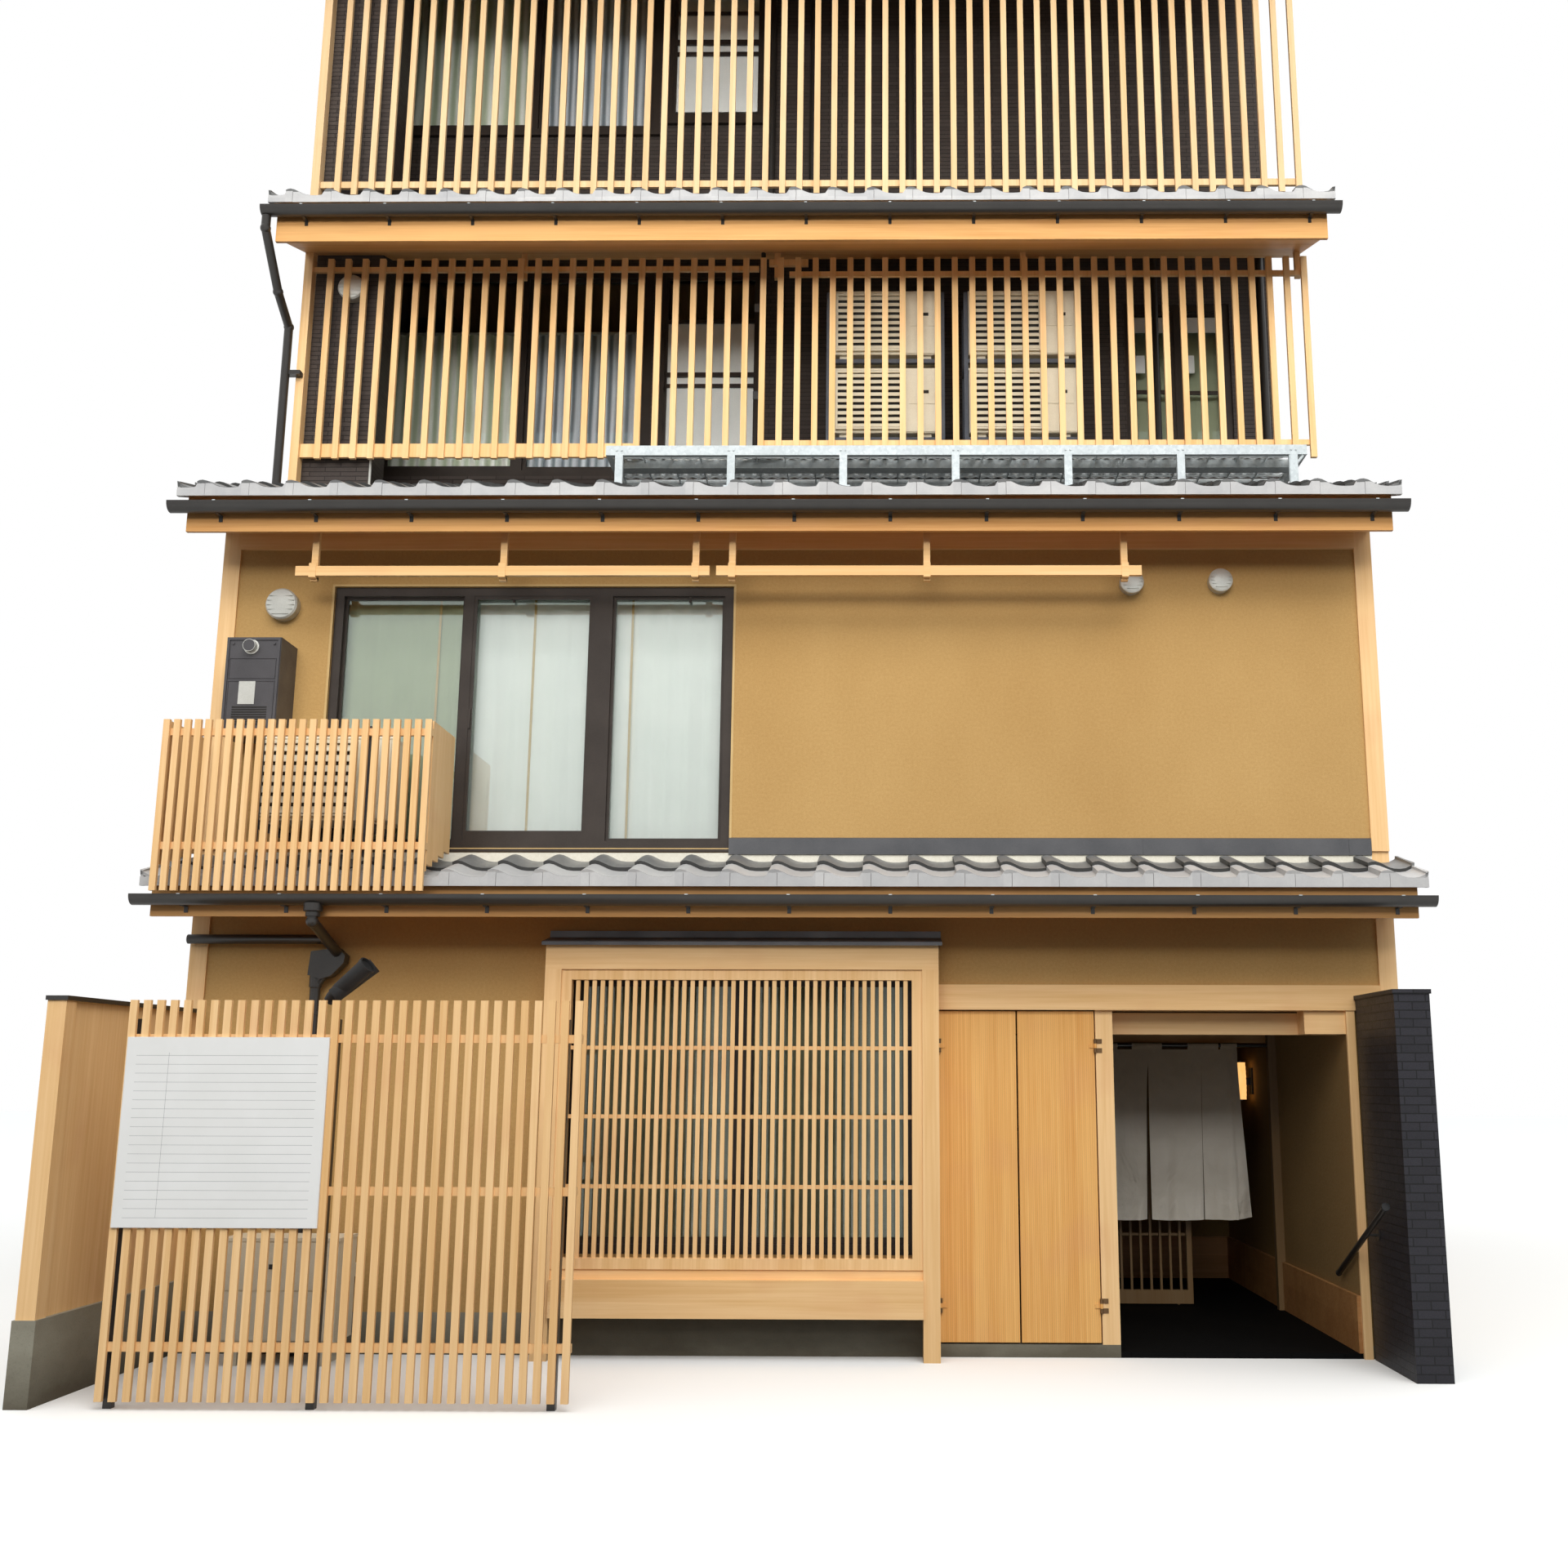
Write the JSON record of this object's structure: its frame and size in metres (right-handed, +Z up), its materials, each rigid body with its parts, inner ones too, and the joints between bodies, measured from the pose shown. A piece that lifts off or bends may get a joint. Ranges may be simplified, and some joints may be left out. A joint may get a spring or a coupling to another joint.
{
  "type": "townhouse",
  "caption": "Narrow townhouse with tiled eaves, a timber lattice bay, lattice screens before its set-back upper storeys, a slatted fence and a recessed porch with a door curtain.",
  "frame": {"origin": "ground level under the middle of the house body, at the base mount", "axes": "+X to the right seen from the street, -Y towards the street, +Z up"},
  "size_m": [7.3568, 11.092, 11.9453],
  "materials": {
    "concrete": "matte",
    "floor_tile": "satin",
    "timber_floor": "satin",
    "plaster": "matte",
    "siding": "matte",
    "cypress": "satin",
    "dark_metal": "satin",
    "window_frame": "satin",
    "linen": "matte",
    "lamp_paper": "matte",
    "pillar_tile": "satin",
    "board": "matte",
    "roof_tile": "satin",
    "glass": "clear",
    "galvanised": "satin",
    "unit_case": "satin",
    "heater_case": "satin",
    "vent_metal": "satin"
  },
  "bodies": {
    "house": {"foundation": "concrete", "porch_floor": "floor_tile", "upper_floors": "timber_floor", "ground_wall_left": "plaster", "ground_wall_right": "plaster", "second_front_wall": "plaster", "upper_front_wall": "siding", "balcony_shaft": "siding", "party_walls": "plaster", "upper_side_walls": "siding", "lower_back_wall": "plaster", "upper_back_wall": "siding", "front_posts": "cypress", "timber_beams": "cypress", "bay_posts": "cypress", "bay_beams": "cypress", "bay_lattice": "cypress", "metal_caps": "dark_metal", "door_hinges": "dark_metal", "porch_walls": "plaster", "porch_wainscot": "cypress", "porch_posts": "cypress", "noren": "linen", "noren_rod": "dark_metal", "wall_lamp": "lamp_paper", "entrance_pillar": "pillar_tile", "handrail": "dark_metal", "wing_wall": "cypress", "fence_panel": "cypress", "fence_posts": "dark_metal", "notice_board": "board", "pent_roof": "roof_tile", "main_roof": "roof_tile", "upper_roof": "roof_tile", "top_roof": "roof_tile", "eave_boards": "cypress", "gutters": "dark_metal", "downpipes": "dark_metal", "blind_rails": "cypress", "front_window_frames": "window_frame", "back_window_frames": "window_frame", "window_glass": "glass", "third_screen": "cypress", "fourth_screen": "cypress", "gate_post": "dark_metal", "roof_platform": "galvanised", "unit_stands": "galvanised", "outdoor_units": "unit_case", "lattice_box": "cypress", "water_heater": "heater_case", "wall_vents": "vent_metal", "spotlight": "dark_metal"},
    "left_leaf": {"left_door_leaf": "cypress"},
    "right_leaf": {"right_door_leaf": "cypress"},
    "sliding_door": {"lattice_door": "cypress"}
  },
  "joints": [
    {"name": "left_leaf_hinge", "type": "hinge", "parent": "house", "child": "left_leaf", "pos_m": [0.88, -4.5095, 1], "axis": [0, 0, -1], "range_deg": [0, 90]},
    {"name": "right_leaf_hinge", "type": "hinge", "parent": "house", "child": "right_leaf", "pos_m": [1.7885, -4.5095, 1], "axis": [0, 0, 1], "range_deg": [0, 90]},
    {"name": "lattice_door_slide", "type": "slide", "parent": "house", "child": "sliding_door", "axis": [1, 0, 0], "range_m": [0, 0.55]}
  ]
}
